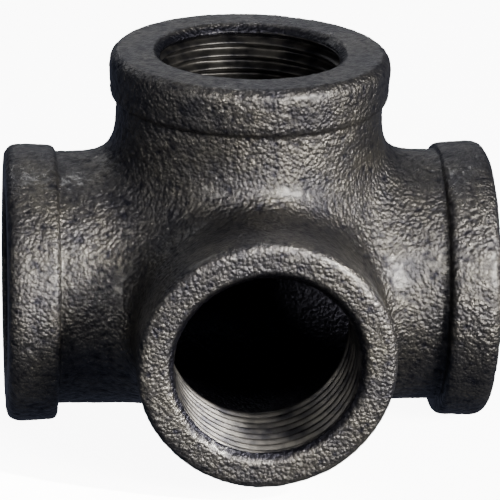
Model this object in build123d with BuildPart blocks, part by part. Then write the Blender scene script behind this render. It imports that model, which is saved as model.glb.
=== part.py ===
from build123d import *
import os

# Side-outlet cross fitting in malleable iron, 3/4 inch pipe size.
# Millimetres, +Z up. The origin is where the axes of the four ports cross.
# The run lies along X, the branch points up along +Z and the outlet points along -Y.

# centre to the face of each mouth
run_face = 33.0
branch_face = 33.0
outlet_face = 33.0

# parallel internal pipe thread: the wall is modelled at the crests
thread_crest_radius = 12.06
thread_depth = 1.162
thread_length = 15.2
thread_backing = 0.7
mouth_bevel_depth = 1.2

# the chamber where the ports meet is this much wider than the thread roots
chamber_relief = 0.478

# iron outside the threaded walls; the branch flares to a thicker neck at its band
run_wall = 2.7
branch_root_wall = 2.5
branch_wall = 4.1
outlet_root_wall = 2.6
outlet_mouth_wall = 3.2
outlet_rim_round = 1.4

# the hub reaches this far past the fillets where its tubes cross
crossing_fillet = 2.6
hub_margin = 0.2

# reinforcing band round a mouth
band_rise = 2.478
band_draft = 0.4
band_width = 6.9
band_rim_round = 1.4
band_heel_round = 0.8

# webs that fill the corners between the run and the branch
run_web_rise = 1.4
branch_web_rise = 0.5
web_thickness = 13.0
web_corner_round = 3.0
web_edge_round = 1.2

# sizes that follow
thread_root_radius = thread_crest_radius + thread_depth
sleeve_radius = thread_root_radius + thread_backing
chamber_radius = thread_root_radius + chamber_relief
run_radius = sleeve_radius + run_wall
branch_root_radius = sleeve_radius + branch_root_wall
branch_radius = sleeve_radius + branch_wall
outlet_root_radius = sleeve_radius + outlet_root_wall
outlet_mouth_radius = sleeve_radius + outlet_mouth_wall
band_radius = run_radius + band_rise
hub_reach = run_radius + crossing_fillet + hub_margin

# the frame of each port: its Z runs out of the mouth
left = Plane((0, 0, 0), x_dir=(0, 0, 1), z_dir=(-1, 0, 0))
right = Plane((0, 0, 0), x_dir=(0, 0, -1), z_dir=(1, 0, 0))
branch = Plane((0, 0, 0), x_dir=(1, 0, 0), z_dir=(0, 0, 1))
outlet = Plane((0, 0, 0), x_dir=(1, 0, 0), z_dir=(0, -1, 0))

# every port: its frame and the distance to its face
ports = {
    "left": (left, run_face),
    "right": (right, run_face),
    "branch": (branch, branch_face),
    "outlet": (outlet, outlet_face),
}
# outer radius of the necks that carry a band: at the hub and at the band
neck_radii = {
    "left": (run_radius, run_radius),
    "right": (run_radius, run_radius),
    "branch": (branch_root_radius, branch_radius),
}
from_base = (Align.CENTER, Align.CENTER, Align.MIN)

os.makedirs("parts", exist_ok=True)


def in_port(name, height=0):
    """The place on a port's axis at this height above the crossing."""
    return Locations(ports[name][0].location * Location((0, 0, height)))


def save(part, name, frame=Plane.XY):
    """Place one named piece in its frame and write it to its own file."""
    placed = part.moved(frame.location)
    placed.label = name
    export_step(placed, f"parts/{name}.step")


def cut_thread_seat(face):
    """Open the seat of the threaded wall in the piece being built, with Z along the port."""
    with Locations((0, 0, face - thread_length)):
        Cylinder(sleeve_radius, thread_length, align=from_base, mode=Mode.SUBTRACT)


def make_hub():
    """The centre of the casting, round the chamber where the four ports meet."""
    with BuildPart() as hub:
        with in_port("left", -hub_reach):
            Cylinder(run_radius, 2 * hub_reach, align=from_base)
        for name, radius in (("branch", branch_root_radius), ("outlet", outlet_root_radius)):
            with in_port(name):
                Cylinder(radius, hub_reach, align=from_base)
        crossings = hub.edges().filter_by(GeomType.BSPLINE)
        fillet(crossings, crossing_fillet)
        with in_port("left", -hub_reach):
            Cylinder(chamber_radius, 2 * hub_reach, align=from_base, mode=Mode.SUBTRACT)
        for name in ("branch", "outlet"):
            with in_port(name):
                Cylinder(chamber_radius, hub_reach, align=from_base, mode=Mode.SUBTRACT)
        # seats for the threaded walls
        for name, (frame, face) in ports.items():
            with in_port(name, face - thread_length):
                Cylinder(sleeve_radius, thread_length, align=from_base, mode=Mode.SUBTRACT)
    return hub.part


def make_neck(face, root_radius, radius):
    """The tube of a banded port, from the hub to the face of the mouth."""
    with BuildPart() as neck:
        with BuildSketch(Plane.XZ):
            with BuildLine():
                Polyline(
                    (chamber_radius, hub_reach),
                    (root_radius, hub_reach),
                    (radius, face - band_width),
                    (radius, face),
                    (chamber_radius, face),
                    close=True,
                )
            make_face()
        revolve(axis=Axis.Z)
        cut_thread_seat(face)
    return neck.part


def make_band(face, radius):
    """The ring that stiffens a mouth, seated on its neck and a little wider at the rim."""
    heel = face - band_width
    heel_radius = band_radius - band_draft
    with BuildPart() as band:
        with BuildSketch(Plane.XZ) as outline:
            with BuildLine():
                Polyline(
                    (radius, heel),
                    (heel_radius, heel),
                    (band_radius, face),
                    (radius, face),
                    close=True,
                )
            make_face()
            rim = outline.vertices().sort_by_distance((band_radius, face))[0]
            fillet(rim, min(band_rim_round, 0.9 * (band_radius - radius)))
            heel_corner = outline.vertices().sort_by_distance((heel_radius, heel))[0]
            fillet(heel_corner, min(band_heel_round, 0.9 * (heel_radius - radius)))
        revolve(axis=Axis.Z)
    return band.part


def make_boss():
    """The plain port of the outlet, a little wider at its mouth and without a band."""
    with BuildPart() as boss:
        with BuildSketch(Plane.XZ) as outline:
            with BuildLine():
                Polyline(
                    (chamber_radius, hub_reach),
                    (outlet_root_radius, hub_reach),
                    (outlet_mouth_radius, outlet_face),
                    (chamber_radius, outlet_face),
                    close=True,
                )
            make_face()
            rim = outline.vertices().sort_by_distance((outlet_mouth_radius, outlet_face))[0]
            fillet(rim, min(outlet_rim_round, 0.9 * outlet_mouth_wall))
        revolve(axis=Axis.Z)
        cut_thread_seat(outlet_face)
    return boss.part


def make_thread(face):
    """The threaded wall of a port at its crest diameter, bevelled at the mouth."""
    with BuildPart() as thread:
        with BuildSketch(Plane.XZ):
            with BuildLine():
                Polyline(
                    (thread_crest_radius, face - thread_length),
                    (sleeve_radius, face - thread_length),
                    (sleeve_radius, face),
                    (thread_root_radius, face),
                    (thread_crest_radius, face - mouth_bevel_depth),
                    close=True,
                )
            make_face()
        revolve(axis=Axis.Z)
    return thread.part


def make_web(hub, necks):
    """The low web in the corner between the run and the branch, on the right."""
    run_line = run_radius + run_web_rise
    branch_line = branch_radius + branch_web_rise
    run_end = run_face - band_width
    branch_end = branch_face - band_width
    with BuildPart() as web:
        with BuildSketch(Plane.XZ) as outline:
            with BuildLine():
                Polyline(
                    (chamber_radius, chamber_radius),
                    (run_end, chamber_radius),
                    (run_end, run_line),
                    (branch_line, run_line),
                    (branch_line, branch_end),
                    (chamber_radius, branch_end),
                    close=True,
                )
            make_face()
            corner = outline.vertices().sort_by_distance((branch_line, run_line))[0]
            shorter_leg = min(run_end - branch_line, branch_end - run_line)
            fillet(corner, min(web_corner_round, 0.9 * shorter_leg))
        extrude(amount=web_thickness / 2, both=True)
        outer_edges = ShapeList()
        for flank in web.faces().filter_by(Axis.Y):
            for edge in flank.edges():
                middle = edge @ 0.5
                if middle.Z > run_line - 0.01 and middle.X > branch_line - 0.01:
                    outer_edges.append(edge)
        fillet(outer_edges, web_edge_round)
        for name, neck in necks.items():
            frame, face = ports[name]
            with in_port(name):
                Cylinder(sleeve_radius, face, align=from_base, mode=Mode.SUBTRACT)
            add(neck.moved(frame.location), mode=Mode.SUBTRACT)
        add(hub, mode=Mode.SUBTRACT)
    return web.part


hub = make_hub()
necks = {name: make_neck(ports[name][1], *radii) for name, radii in neck_radii.items()}
web = make_web(hub, necks)
save(hub, "hub")
save(web, "right_corner_web")
save(mirror(web, about=Plane.YZ), "left_corner_web")
save(make_boss(), "outlet_boss", outlet)
for name, neck in necks.items():
    frame, face = ports[name]
    save(neck, f"{name}_neck", frame)
    save(make_band(face, neck_radii[name][1]), f"{name}_band", frame)
for name, (frame, face) in ports.items():
    save(make_thread(face), f"{name}_thread", frame)
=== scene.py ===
import itertools
import math

import bpy
import numpy as np
from mathutils import Matrix, Vector


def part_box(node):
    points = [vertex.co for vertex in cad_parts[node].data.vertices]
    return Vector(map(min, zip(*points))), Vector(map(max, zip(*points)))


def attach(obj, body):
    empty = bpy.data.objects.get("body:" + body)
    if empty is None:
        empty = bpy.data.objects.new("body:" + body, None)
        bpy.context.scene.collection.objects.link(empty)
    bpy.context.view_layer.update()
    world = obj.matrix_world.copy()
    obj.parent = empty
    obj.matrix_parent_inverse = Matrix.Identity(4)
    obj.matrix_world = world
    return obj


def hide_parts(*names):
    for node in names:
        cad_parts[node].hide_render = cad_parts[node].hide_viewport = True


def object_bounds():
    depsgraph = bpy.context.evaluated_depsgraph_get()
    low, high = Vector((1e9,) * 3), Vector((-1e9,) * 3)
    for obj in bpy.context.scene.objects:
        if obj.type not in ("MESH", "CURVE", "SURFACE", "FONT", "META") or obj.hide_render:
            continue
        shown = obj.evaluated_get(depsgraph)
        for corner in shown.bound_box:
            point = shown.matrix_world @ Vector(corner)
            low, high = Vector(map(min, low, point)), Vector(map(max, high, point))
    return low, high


# A side-outlet cross fitting in cast iron. Lengths are in millimetres up to the meshes, then in metres.
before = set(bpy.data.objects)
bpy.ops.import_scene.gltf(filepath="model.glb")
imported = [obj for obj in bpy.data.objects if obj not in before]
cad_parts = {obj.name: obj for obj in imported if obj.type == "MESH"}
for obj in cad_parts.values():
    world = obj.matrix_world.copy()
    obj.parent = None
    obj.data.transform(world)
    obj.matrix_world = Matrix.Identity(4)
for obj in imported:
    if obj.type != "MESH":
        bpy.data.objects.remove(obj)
cad_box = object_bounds()

MM = 0.001


def cad(node):
    """Lowest and highest corner of a CAD node, in millimetres."""
    low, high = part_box(node)
    return np.array(low) / MM, np.array(high) / MM


# ---------------------------------------------------------------- sizes from the CAD
BOX_LOW, BOX_HIGH = (np.array(corner) / MM for corner in cad_box)
RUN_FACE = cad("right_neck")[1][0]
BRANCH_FACE = cad("branch_neck")[1][2]
OUTLET_FACE = -cad("outlet_boss")[0][1]
RUN_NECK = cad("right_neck")[1][2]
BRANCH_NECK = cad("branch_neck")[1][0]
OUTLET_MOUTH = cad("outlet_boss")[1][0]
BAND_RADIUS = cad("right_band")[1][2]
RUN_HEEL = cad("right_band")[0][0]
# on the real casting the branch's band is a little narrower than the run's
BRANCH_HEEL = cad("branch_band")[0][2] + 0.5
THREAD_LENGTH = RUN_FACE - cad("right_thread")[0][0]
LOWEST = cad("right_band")[0][2]

# ---------------------------------------------------------------- the casting's outside
RUN_SWELL = 1.4
BRANCH_ROOT = 16.45
BRANCH_FLARE_START = 2.0
BRANCH_FLARE_LENGTH = 16.0
OUTLET_ROOT = 16.5
# how much a band or the outlet narrows away from its mouth, and where a band starts to
DRAFT = 0.045
CROWN_START = 1.0

# how widely edges are rounded and corners are filled, about twice the radius
INNER_END_ROUND = 11.0
RUN_RIM_ROUND = 1.0
BRANCH_RIM_ROUND = 1.0
OUTLET_RIM_ROUND = 2.4
BAND_RIM_ROUND = 3.2
BAND_HEEL_ROUND = 1.5
BAND_CREASE_FILL = 0.45
BRANCH_FILL = 8.2
OUTLET_FILL = 9.0
CHAMBER_ROUND = 1.2
MOUTH_ROUND = 0.6

# ---------------------------------------------------------------- the space inside and the threads
CHAMBER_RADIUS = 13.7
CREST_RADIUS = 12.06
THREAD_DEPTH = 1.162
ROOT_RADIUS = CREST_RADIUS + THREAD_DEPTH
PITCH = 1.814
# height of the sharp triangle of a Whitworth thread, as a share of the pitch
SHARP_HEIGHT = 0.960491
THREAD_ROUND = 0.5
# spots where the grooves are shallower: by what share at most, and how wide
WEAR = 0.3
WEAR_WIDTH = 3.0
BEVEL_DEPTH = 1.2
# the casting keeps most of the bevel as its lip, and opens behind it to a seat for the thread
LIP_DEPTH = 1.1
LIP_SLOPE = 1.1
SEAT_RADIUS = 13.5
SEAT_GAP = 0.04

# ---------------------------------------------------------------- the skin
NET_STEP = 0.27
# the grain stands out along normals taken over a wide reach, so that they turn gently at edges
NORMAL_REACH = 0.25
# sand grains: the height and width of the large and the small ones, and of the finest unevenness
LARGE_GRAIN = (0.09, 0.98)
SMALL_GRAIN = (0.055, 0.66)
FINE_GRAIN = (0.03, 0.6)
GRAIN_MEAN = 0.05
GRAIN_HEIGHT = 0.15
# broad waves of the skin: the height and width of the long and the short ones
LONG_WAVE = (0.06, 9.0)
SHORT_WAVE = (0.05, 4.2)
PATCH_WIDTH = 6.0
# how deep inside the casting the painted shade on the inner walls starts, and how far it takes to cover
# the iron
INSIDE_SHADE_START = 0.1
INSIDE_SHADE_FADE = 0.45


# ---------------------------------------------------------------- noise on points
def cell_hash(i, j, k, seed):
    """A repeatable value from 0 to 1 for each lattice cell, by a common integer hash."""
    n = (i * 73856093) ^ (j * 19349663) ^ (k * 83492791) ^ (seed * 2654435761)
    n = ((n ^ (n >> 13)) * 1274126177) & 0x7FFFFFFF
    n = ((n ^ (n >> 11)) * 668265263) & 0x7FFFFFFF
    return ((n ^ (n >> 15)) & 0xFFFFFF) / float(0xFFFFFF)


def value_noise(p, size, seed):
    """Smooth noise from -1 to 1 with lumps about this size."""
    q = p / size
    base = np.floor(q).astype(np.int64)
    f = q - base
    f = f * f * f * (f * (f * 6 - 15) + 10)
    total = np.zeros(len(p))
    for corner in itertools.product((0, 1), repeat=3):
        share = np.where(corner, f, 1 - f).prod(axis=1)
        total += share * cell_hash(*(base + corner).T, seed)
    return total * 2 - 1


def pebbles(p, size, seed):
    """Rounded grains like packed sand: 1 on top of a grain, 0 between grains."""
    steepness = 1.3
    q = p / size
    base = np.floor(q).astype(np.int64)
    nearest = np.full(len(p), np.inf)
    for offset in itertools.product((-1, 0, 1), repeat=3):
        cell = base + offset
        apart = np.zeros(len(p))
        for axis in range(3):
            apart += (q[:, axis] - cell[:, axis] - cell_hash(*cell.T, seed + axis)) ** 2
        nearest = np.minimum(nearest, apart)
    return np.clip(1 - steepness * nearest, 0, 1)


# ---------------------------------------------------------------- the casting as a distance field
def smooth_min(a, b, k):
    """The union of two fields with a fillet about half of k in radius."""
    h = np.maximum(k - np.abs(a - b), 0) / k
    return np.minimum(a, b) - h * h * h * k / 6


def smooth_max(a, b, k):
    """The intersection of two fields with a rounded edge."""
    return -smooth_min(-a, -b, k)


def tube(radial, along, radius, face, rim):
    """A round bar from the crossing out to a face, with a worn rim and a long soft inner end."""
    bar = smooth_max(radial - radius, along - face, rim)
    return smooth_max(bar, -along, INNER_END_ROUND)


def bevel_radius(depth):
    """The cone that opens a mouth: its radius at this depth behind the face."""
    return ROOT_RADIUS - THREAD_DEPTH * depth / BEVEL_DEPTH


def bore_radius(depth):
    """The hole in the casting at this depth behind a mouth: bevel, lip, thread seat, chamber."""
    seat = np.minimum(bevel_radius(LIP_DEPTH) + LIP_SLOPE * (depth - LIP_DEPTH), SEAT_RADIUS)
    radius = np.where(depth < LIP_DEPTH, bevel_radius(depth), seat)
    return np.where(depth > THREAD_LENGTH, CHAMBER_RADIUS, radius)


def ports(p):
    """Distance from the axis, distance along it, and the face: of the run's ends, branch and outlet."""
    x, y, z = p.T
    return (
        (np.hypot(y, z), np.abs(x), RUN_FACE),
        (np.hypot(x, y), z, BRANCH_FACE),
        (np.hypot(x, z), -y, OUTLET_FACE),
    )


def body(p):
    """Distance to the outside of the casting, as if it were solid."""
    (r_run, side, _), (r_branch, up, _), (r_outlet, out, _) = ports(p)

    # the run is fuller on its upper side: upper goes from 0 on its underside to 1 on top
    upper = np.clip(0.2 + 0.8 * p[:, 2] / np.maximum(r_run, 1), 0, 1) ** 2
    run = smooth_max(r_run - RUN_NECK - RUN_SWELL * upper, side - RUN_FACE, RUN_RIM_ROUND)

    # the branch thickens from the hub to its band, and the outlet towards its mouth
    rise = np.clip((up - BRANCH_FLARE_START) / BRANCH_FLARE_LENGTH, 0, 1)
    flared = BRANCH_ROOT + (BRANCH_NECK - BRANCH_ROOT) * rise * rise * (3 - 2 * rise)
    branch = tube(r_branch, up, flared, BRANCH_FACE, BRANCH_RIM_ROUND)
    tapered = np.maximum(OUTLET_MOUTH - DRAFT * (OUTLET_FACE - out), OUTLET_ROOT)
    outlet = tube(r_outlet, out, tapered, OUTLET_FACE, OUTLET_RIM_ROUND)
    whole = smooth_min(run, branch, BRANCH_FILL)
    whole = smooth_min(whole, outlet, OUTLET_FILL)

    # reinforcing bands on the run and the branch, which come first and second among the ports
    for (radial, along, face), heel in zip(ports(p), (RUN_HEEL, BRANCH_HEEL)):
        crown = BAND_RADIUS - DRAFT * np.maximum(face - along - CROWN_START, 0)
        band = smooth_max(radial - crown, along - face, BAND_RIM_ROUND)
        band = smooth_max(band, heel - along, BAND_HEEL_ROUND)
        whole = smooth_min(whole, band, BAND_CREASE_FILL)
    return whole


def hollow(p):
    """Distance to the wall of the space inside, below zero in that space."""
    bores = []
    for radial, along, face in ports(p):
        wall = radial - bore_radius(face - along)
        bores.append(np.maximum(wall, -along))
    run, branch, outlet = bores
    return smooth_min(smooth_min(run, branch, CHAMBER_ROUND), outlet, CHAMBER_ROUND)


def casting(p):
    """Distance to the skin of the casting, below zero in the iron."""
    return smooth_max(body(p), -hollow(p), MOUTH_ROUND)


def gradient(field, p, reach=0.02):
    """The slope of a field at each point, measured over this reach to both sides."""
    slope = np.empty_like(p)
    for axis in range(3):
        shift = np.zeros(3)
        shift[axis] = reach
        slope[:, axis] = (field(p + shift) - field(p - shift)) / (2 * reach)
    return slope


# ---------------------------------------------------------------- meshes
def sample(field, axes):
    """The values of a field on a grid, one slab at a time to save memory."""
    values = np.empty([len(axis) for axis in axes], np.float32)
    yy, zz = np.meshgrid(axes[1], axes[2], indexing="ij")
    for i, x in enumerate(axes[0]):
        slab = np.stack([np.full(yy.size, x), yy.ravel(), zz.ravel()], axis=1)
        values[i] = field(slab).reshape(yy.shape)
    return values


def surface_net(field, low, high, step):
    """Vertices and quads of the zero surface of a field, sampled on a grid.

    Each grid cell that the surface passes through gets one vertex, the mean of the crossings on the
    cell's edges. Each grid edge that the surface crosses gets one quad, which joins its four cells.
    """
    axes = [np.arange(low[i], high[i] + step, step) for i in range(3)]
    values = sample(field, axes)
    inside = values < 0
    cells = np.array(values.shape) - 1
    total = np.zeros((3, cells.prod()))
    count = np.zeros(cells.prod())
    quads = []
    for axis in range(3):
        start = [slice(None)] * 3
        end = [slice(None)] * 3
        start[axis] = slice(0, -1)
        end[axis] = slice(1, None)
        start, end = tuple(start), tuple(end)
        crossed = inside[start] != inside[end]
        at = np.argwhere(crossed)
        before = values[start][crossed]
        after = values[end][crossed]
        leaving = inside[start][crossed]
        point = at.astype(float)
        point[:, axis] += before / (before - after)
        u, w = (axis + 1) % 3, (axis + 2) % 3
        corners = []
        for du, dw in ((0, 0), (1, 0), (1, 1), (0, 1)):
            cell = at.copy()
            cell[:, u] -= du
            cell[:, w] -= dw
            flat = np.ravel_multi_index(cell.T, cells)
            corners.append(flat)
            count += np.bincount(flat, minlength=len(count))
            for i in range(3):
                total[i] += np.bincount(flat, weights=point[:, i], minlength=len(count))
        quad = np.stack(corners, axis=1)
        quad[~leaving] = quad[~leaving][:, ::-1]
        quads.append(quad)
    used = np.flatnonzero(count)
    number = np.full(len(count), -1)
    number[used] = np.arange(len(used))
    verts = (total[:, used] / count[used]).T * step + np.array([axis[0] for axis in axes])
    return verts, number[np.concatenate(quads)]


def mesh_object(name, verts, faces):
    """A shaded-smooth mesh object from millimetre points."""
    mesh = bpy.data.meshes.new(name)
    mesh.from_pydata((verts * MM).tolist(), [], faces.tolist())
    mesh.shade_smooth()
    piece = bpy.data.objects.new(name, mesh)
    bpy.context.scene.collection.objects.link(piece)
    return piece


def add_attribute(piece, name, values):
    """Store one value from 0 to 1 for each vertex, for a material to read."""
    attribute = piece.data.attributes.new(name, "FLOAT", "POINT")
    attribute.data.foreach_set("value", np.clip(values, 0, 1))


def settle(p, step):
    """Points near the skin of the casting, moved onto it."""
    rounds = 2
    least_steep = 0.2
    longest_move = 0.3 * step
    for _ in range(rounds):
        slope = gradient(casting, p)
        steepness = np.maximum((slope * slope).sum(axis=1), least_steep)
        move = slope * (casting(p) / steepness)[:, None]
        p = p - np.clip(move, -longest_move, longest_move)
    return p


def grain(p):
    """The broad waves of the skin and the sand grains that stand on it, as heights at each point."""
    (long_height, long_width), (short_height, short_width) = LONG_WAVE, SHORT_WAVE
    waves = long_height * value_noise(p, long_width, seed=3)
    waves += short_height * value_noise(p, short_width, seed=5)

    # the large grains stand out more in some patches than in others
    patch = 0.8 + 0.4 * value_noise(p, PATCH_WIDTH, seed=11)
    (large_height, large_width), (small_height, small_width) = LARGE_GRAIN, SMALL_GRAIN
    fine_height, fine_width = FINE_GRAIN
    lumps = large_height * pebbles(p, large_width, seed=21) * patch
    lumps += small_height * pebbles(p, small_width, seed=31)
    lumps += fine_height * value_noise(p, fine_width, seed=41)
    return waves, lumps


def make_casting():
    """The whole skin of the casting as one mesh."""
    step = NET_STEP
    # the net closes only if the grid reaches past the casting on all sides
    margin = 1.1
    low = np.array([-RUN_FACE, -OUTLET_FACE, -BAND_RADIUS]) - margin
    high = np.array([RUN_FACE, BAND_RADIUS, BRANCH_FACE]) + margin
    p, quads = surface_net(casting, low, high, step)
    p = settle(p, step)
    slope = gradient(casting, p, NORMAL_REACH)
    normal = slope / np.maximum(np.linalg.norm(slope, axis=1), 1e-6)[:, None]
    waves, lumps = grain(p)
    p = p + normal * (waves + lumps - GRAIN_MEAN)[:, None]
    p = np.clip(p, BOX_LOW, BOX_HIGH)
    piece = mesh_object("casting", p, quads)
    # the grain heights, which the material turns into colour: lighter rubbed tops, and dark pits of oil
    # and painted shade
    add_attribute(piece, "relief", lumps / GRAIN_HEIGHT)
    # how deep a point lies inside the casting, which the material turns into painted shade on the inner
    # walls
    add_attribute(piece, "inside", (-body(p) - INSIDE_SHADE_START) / INSIDE_SHADE_FADE)
    return piece


def groove_depth(height, turn):
    """The rounded thread form: how far the wall stands back at a height and a turn from 0 to 1."""
    sharp = SHARP_HEIGHT * PITCH
    phase = np.abs(((height / PITCH - turn) % 1.0) * 2 - 1)
    depth = sharp * phase - (sharp - THREAD_DEPTH) / 2
    depth = smooth_max(depth, 0, THREAD_ROUND)
    return smooth_min(depth, THREAD_DEPTH, THREAD_ROUND)


def make_thread(name, face, turn_to):
    """The cut thread of one port: a sleeve with worn helical grooves inside."""
    around = 180
    step = 0.14
    heights = np.arange(face - THREAD_LENGTH, face - LIP_DEPTH + 0.5 * step, step)
    height, turn = np.meshgrid(heights, np.arange(around) / around, indexing="ij")
    angle = turn * 2 * math.pi
    crest = np.stack([CREST_RADIUS * np.cos(angle), CREST_RADIUS * np.sin(angle), height], axis=2)
    spots = value_noise(crest.reshape(-1, 3), WEAR_WIDTH, seed=51).reshape(height.shape)
    left_over = 1 - WEAR * np.clip(spots, 0, 1)
    groove = CREST_RADIUS + groove_depth(height, turn) * left_over
    radius = np.maximum(groove, bevel_radius(face - height))

    # the back of the sleeve closes the mesh, a little short of the seat
    back = np.full((1, around), SEAT_RADIUS - SEAT_GAP)
    radius = np.vstack([back, radius, back])
    height = np.vstack([height[:1], height, height[-1:]])
    angle = np.vstack([angle[:1], angle, angle[-1:]])
    verts = np.stack([radius * np.cos(angle), radius * np.sin(angle), height], axis=2)
    index = np.arange(radius.size).reshape(radius.shape)
    beside = np.roll(index, -1, axis=1)
    over = np.roll(index, -1, axis=0)
    corner = np.roll(over, -1, axis=1)
    faces = np.stack([index, over, corner, beside], axis=2).reshape(-1, 4)
    return mesh_object(name, verts.reshape(-1, 3) @ np.array(turn_to.to_3x3()).T, faces)


# ---------------------------------------------------------------- materials
def new_material(name):
    """A new material with its node tree and its shader."""
    material = bpy.data.materials.new(name)
    material.use_nodes = True
    tree = material.node_tree
    return material, tree, tree.nodes["Principled BSDF"]


def node(tree, kind, **values):
    """A node with some sockets and properties set by name."""
    made = tree.nodes.new(kind)
    for key, value in values.items():
        if key in made.inputs:
            made.inputs[key].default_value = value
        else:
            setattr(made, key, value)
    return made


def texture(tree, kind, **values):
    """A texture node that lies still on the object, with its scale per millimetre."""
    place = node(tree, "ShaderNodeTexCoord")
    scaled = node(tree, "ShaderNodeMapping", Scale=(1 / MM, 1 / MM, 1 / MM))
    made = node(tree, kind, **values)
    tree.links.new(place.outputs["Object"], scaled.inputs["Vector"])
    tree.links.new(scaled.outputs["Vector"], made.inputs["Vector"])
    return made


def ramp(tree, source, low, high):
    """The colour for a value, between two stops that are a place and a colour each."""
    made = node(tree, "ShaderNodeValToRGB")
    for element, (at, colour) in zip(made.color_ramp.elements, (low, high)):
        element.position = at
        element.color = (*colour, 1)
    tree.links.new(source, made.inputs["Fac"])
    return made.outputs["Color"]


def map_range(tree, source, span, result):
    """A value mapped from one span to another."""
    made = node(tree, "ShaderNodeMapRange")
    made.inputs["From Min"].default_value, made.inputs["From Max"].default_value = span
    made.inputs["To Min"].default_value, made.inputs["To Max"].default_value = result
    tree.links.new(source, made.inputs["Value"])
    return made.outputs["Result"]


def add_bump(tree, shader, height, strength, distance):
    """Fine relief too small for the mesh."""
    bump = node(tree, "ShaderNodeBump", Strength=strength, Distance=distance * MM)
    tree.links.new(height, bump.inputs["Height"])
    tree.links.new(bump.outputs["Normal"], shader.inputs["Normal"])


def cast_skin_material():
    """Black oiled sand-cast iron: rubbed glinting grains, oil and painted shade in the pits, uneven
    oil, painted shade inside.
    """
    material, tree, shader = new_material("cast_skin")
    links = tree.links
    relief = node(tree, "ShaderNodeAttribute", attribute_name="relief")
    inside = node(tree, "ShaderNodeAttribute", attribute_name="inside")
    cloud = texture(tree, "ShaderNodeTexNoise", Scale=0.16, Detail=4.0, Roughness=0.6)
    speck = texture(tree, "ShaderNodeTexNoise", Scale=1.3, Detail=5.0, Roughness=0.7)

    # height: half from the modelled grains and half from finer specks
    height = node(tree, "ShaderNodeMix", data_type="FLOAT")
    height.inputs["Factor"].default_value = 0.5
    links.new(speck.outputs["Fac"], height.inputs["A"])
    links.new(relief.outputs["Fac"], height.inputs["B"])
    pits_to_tops = (0.28, 0.72)
    # the colour darkens from the grain tops into the pits: partly oil in the pits, partly painted shade
    # in the crevices between grains
    colour = ramp(
        tree,
        height.outputs["Result"],
        (pits_to_tops[0], (0.012, 0.012, 0.017)),
        (pits_to_tops[1], (0.115, 0.110, 0.099)),
    )

    # clouds of dark bluish oil
    oil = ramp(tree, cloud.outputs["Fac"], (0.3, (0.42, 0.44, 0.58)), (0.7, (1.0, 0.98, 0.92)))
    oiled = node(tree, "ShaderNodeMix", data_type="RGBA", blend_type="MULTIPLY")
    oiled.inputs["Factor"].default_value = 0.8
    links.new(colour, oiled.inputs["A"])
    links.new(oil, oiled.inputs["B"])

    # painted shade on the walls of the space inside, nearly black
    painted_inside_shade = node(tree, "ShaderNodeMix", data_type="RGBA")
    painted_inside_shade.inputs["B"].default_value = (0.005, 0.005, 0.008, 1)
    links.new(inside.outputs["Fac"], painted_inside_shade.inputs["Factor"])
    links.new(oiled.outputs["Result"], painted_inside_shade.inputs["A"])
    links.new(painted_inside_shade.outputs["Result"], shader.inputs["Base Color"])

    shader.inputs["Metallic"].default_value = 0.9
    gloss = map_range(tree, height.outputs["Result"], pits_to_tops, (0.5, 0.27))
    links.new(gloss, shader.inputs["Roughness"])
    shader.inputs["Coat Weight"].default_value = 0.15
    shader.inputs["Coat Roughness"].default_value = 0.22

    fine = texture(tree, "ShaderNodeTexNoise", Scale=3.0, Detail=4.0, Roughness=0.65)
    cells = texture(tree, "ShaderNodeTexVoronoi", Scale=1.9)
    bumps = node(tree, "ShaderNodeMath", operation="SUBTRACT")
    links.new(fine.outputs["Fac"], bumps.inputs[0])
    links.new(cells.outputs["Distance"], bumps.inputs[1])
    add_bump(tree, shader, bumps.outputs["Value"], strength=0.75, distance=0.2)
    return material


def thread_material():
    """Freshly cut iron under an uneven film of oil, a little rough."""
    material, tree, shader = new_material("cut_thread")
    stain = texture(tree, "ShaderNodeTexNoise", Scale=0.35, Detail=5.0, Roughness=0.6)
    stained = stain.outputs["Fac"]
    colour = ramp(tree, stained, (0.36, (0.006, 0.006, 0.008)), (0.66, (0.045, 0.043, 0.040)))
    tree.links.new(colour, shader.inputs["Base Color"])
    shader.inputs["Metallic"].default_value = 0.85
    tree.links.new(map_range(tree, stained, (0, 1), (0.34, 0.5)), shader.inputs["Roughness"])
    fine = texture(tree, "ShaderNodeTexNoise", Scale=3.0, Detail=3.0)
    add_bump(tree, shader, fine.outputs["Fac"], strength=0.25, distance=0.1)
    return material


# ---------------------------------------------------------------- the fitting
SKIN_NODES = (
    "hub",
    "left_neck",
    "right_neck",
    "branch_neck",
    "outlet_boss",
    "left_band",
    "right_band",
    "branch_band",
    "left_corner_web",
    "right_corner_web",
)
# every threaded port: its face, and the turn from +Z to the port's own direction
THREADED_PORTS = (
    ("left", RUN_FACE, Matrix.Rotation(math.radians(-90), 4, "Y")),
    ("right", RUN_FACE, Matrix.Rotation(math.radians(90), 4, "Y")),
    ("branch", BRANCH_FACE, Matrix.Identity(4)),
    ("outlet", OUTLET_FACE, Matrix.Rotation(math.radians(90), 4, "X")),
)

skin = make_casting()
skin.data.materials.append(cast_skin_material())
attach(skin, "root")
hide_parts(*SKIN_NODES)

cut = thread_material()
for port, face, turn_to in THREADED_PORTS:
    thread = make_thread(f"{port}_port_thread", face, turn_to)
    thread.data.materials.append(cut)
    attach(thread, "root")
    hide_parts(f"{port}_thread")


# ---------------------------------------------------------------- floor, light and camera, in metres
WARM = (1.0, 0.962, 0.895)
WHITE = (1.0, 1.0, 1.0)
SKY = (0.6, 0.68, 1.0, 1.0)
SKY_STRENGTH = 0.12


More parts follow.
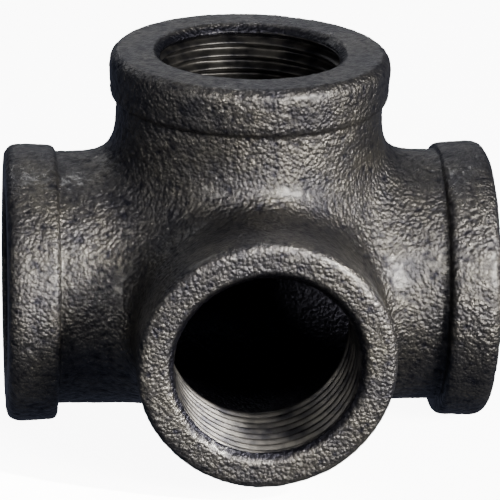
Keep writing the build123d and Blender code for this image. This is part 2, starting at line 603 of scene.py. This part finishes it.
def place_lamp(data, where, aim, power, colour):
    """Put a lamp in the room, turned towards a point."""
    data.energy = power
    data.color = colour
    lamp = bpy.data.objects.new(data.name, data)
    lamp.location = where
    lamp.rotation_euler = (Vector(aim) - Vector(where)).to_track_quat("-Z", "Y").to_euler()
    bpy.context.scene.collection.objects.link(lamp)


def area_light(name, where, size, power, colour):
    """A soft box turned towards the crossing of the ports."""
    data = bpy.data.lights.new(name, "AREA")
    data.shape = "RECTANGLE"
    data.size, data.size_y = size
    place_lamp(data, where, (0, 0, 0), power, colour)


def narrow_light(name, where, aim, cone, power, colour):
    """A lamp with a narrow soft-edged beam; the cone is its full angle in degrees."""
    data = bpy.data.lights.new(name, "SPOT")
    data.spot_size = math.radians(cone)
    data.spot_blend = 1.0
    data.shadow_soft_size = 0.02
    place_lamp(data, where, aim, power, colour)


def make_floor():
    """A wide pale floor under the part."""
    half = 3.0
    clearance = 0.0004
    z = LOWEST * MM - clearance
    mesh = bpy.data.meshes.new("floor")
    corners = [(-half, -half, z), (half, -half, z), (half, half, z), (-half, half, z)]
    mesh.from_pydata(corners, [], [(0, 1, 2, 3)])
    floor = bpy.data.objects.new("floor", mesh)
    bpy.context.scene.collection.objects.link(floor)
    material, _, shader = new_material("floor")
    shader.inputs["Base Color"].default_value = (0.9, 0.9, 0.9, 1)
    shader.inputs["Roughness"].default_value = 0.9
    shader.inputs["Emission Color"].default_value = (1, 1, 1, 1)
    shader.inputs["Emission Strength"].default_value = 9.0
    floor.data.materials.append(material)
    # a bright floor would light the iron from below, which a dark table does not
    floor.visible_diffuse = False
    floor.visible_glossy = False


def make_sky():
    """A faint cool light from all sides."""
    world = bpy.data.worlds.new("studio")
    world.use_nodes = True
    background = world.node_tree.nodes["Background"]
    background.inputs["Color"].default_value = SKY
    background.inputs["Strength"].default_value = SKY_STRENGTH
    bpy.context.scene.world = world


def make_camera(azimuth, elevation, roll, distance):
    """The camera, aimed by angles in degrees from straight in front of the outlet."""
    azimuth, elevation, roll = math.radians(azimuth), math.radians(elevation), math.radians(roll)
    data = bpy.data.cameras.new("camera")
    data.sensor_width = 36
    data.lens = 245.6
    data.shift_x = 0.0109
    data.shift_y = 0.0597
    data.clip_start = 0.01
    camera = bpy.data.objects.new("camera", data)
    level = math.cos(elevation)
    away = Vector((-math.sin(azimuth) * level, -math.cos(azimuth) * level, math.sin(elevation)))
    camera.location = away * distance
    look = (-away).to_track_quat("-Z", "Y").to_matrix()
    camera.rotation_euler = (look @ Matrix.Rotation(roll, 3, "Z")).to_euler()
    bpy.context.scene.collection.objects.link(camera)
    bpy.context.scene.camera = camera


make_floor()
make_sky()
area_light("key", (0.48, -0.56, 0.27), (0.26, 0.18), 27.5, WARM)
area_light("front", (0.15, -0.68, 0.38), (0.22, 0.12), 3.0, WARM)
area_light("left", (-0.5, -0.5, 0.2), (0.15, 0.12), 2.2, WARM)
area_light("streak", (0.0, 0.2, 0.42), (0.06, 0.04), 0.4, WHITE)
area_light("behind", (-0.38, 0.6, 0.52), (0.35, 0.25), 0.9, WHITE)
area_light("behind_low", (0.06, 0.56, 0.21), (0.34, 0.14), 0.13, WHITE)
narrow_light("into_outlet", (0.446, -0.356, 0.41), (-0.0115, -0.032, -0.0085), 2.7, 380, WARM)
make_camera(azimuth=5.93, elevation=20.45, roll=1.48, distance=0.4705)
